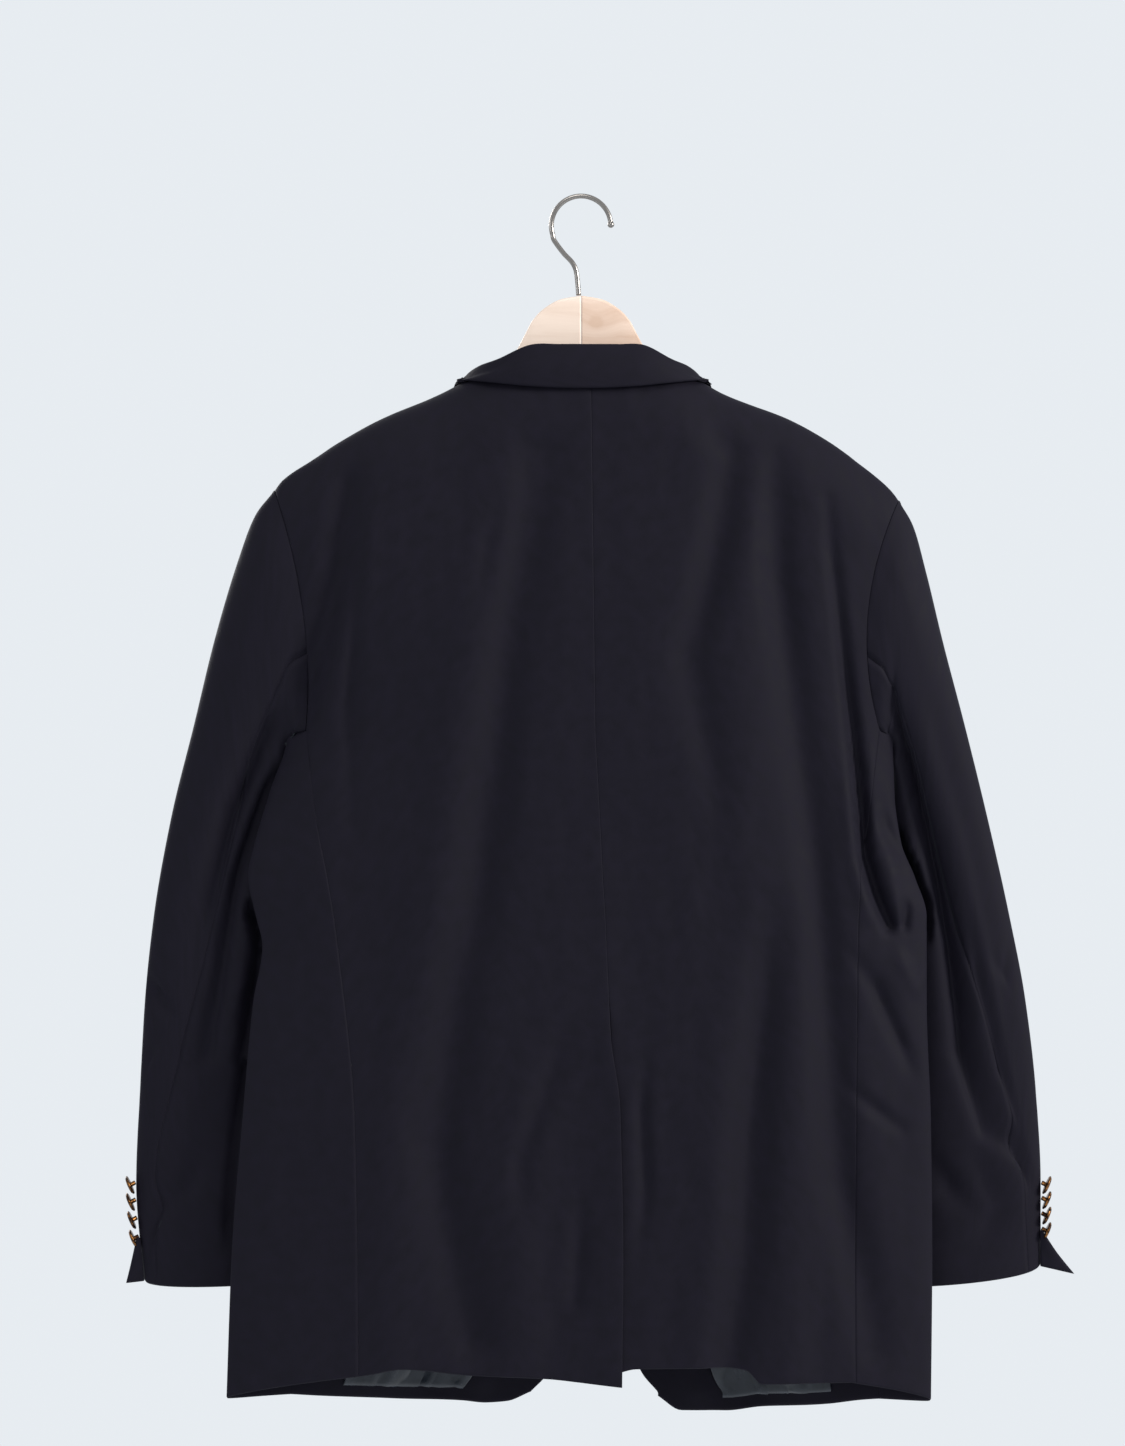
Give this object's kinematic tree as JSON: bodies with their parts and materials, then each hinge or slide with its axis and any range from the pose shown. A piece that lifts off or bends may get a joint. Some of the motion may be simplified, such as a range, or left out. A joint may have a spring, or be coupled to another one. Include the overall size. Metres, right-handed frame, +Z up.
{
  "type": "blazer on a wooden hanger",
  "caption": "Men's single-breasted blazer with notched lapels, flap pockets, back vent and metal cuff buttons, hanging on a flat wooden hanger with a wire hook.",
  "frame": {"origin": "inside the top of the hanger hook's bend, where the rail that holds it touches the wire", "axes": "+Z up along the hook's stem, front of the jacket toward -Y, wearer's left toward +X"},
  "size_m": [0.719, 0.1058, 0.9298],
  "materials": {
    "navy_wool": "fine plain worsted, matte with a slight sheen",
    "lining_satin": "shiny satin",
    "pale_wood": "sanded maple under thin clear lacquer",
    "brushed_nickel": "brushed nickel plate",
    "antique_gold": "darkened gold plate, polished high spots"
  },
  "bodies": {
    "root": {"back_left": "navy_wool", "back_right": "navy_wool", "breast_welt": "navy_wool", "collar_leaf": "navy_wool", "collar_stand": "navy_wool", "cuff_button_left_1": "antique_gold", "cuff_button_left_2": "antique_gold", "cuff_button_left_3": "antique_gold", "cuff_button_left_4": "antique_gold", "cuff_button_right_1": "antique_gold", "cuff_button_right_2": "antique_gold", "cuff_button_right_3": "antique_gold", "cuff_button_right_4": "antique_gold", "cuff_flap_left": "navy_wool", "cuff_flap_right": "navy_wool", "front_button_1": "antique_gold", "front_button_2": "antique_gold", "front_left": "navy_wool", "front_right": "navy_wool", "hanger_left": "pale_wood", "hanger_right": "pale_wood", "hook": "brushed_nickel", "lapel_left": "navy_wool", "lapel_right": "navy_wool", "lining_left": "lining_satin", "lining_right": "lining_satin", "pocket_flap_left": "navy_wool", "pocket_flap_right": "navy_wool", "side_left": "navy_wool", "side_right": "navy_wool", "top_sleeve_left": "navy_wool", "top_sleeve_right": "navy_wool", "under_sleeve_left": "navy_wool", "under_sleeve_right": "navy_wool", "vent_underlap": "navy_wool"}
  },
  "joints": []
}
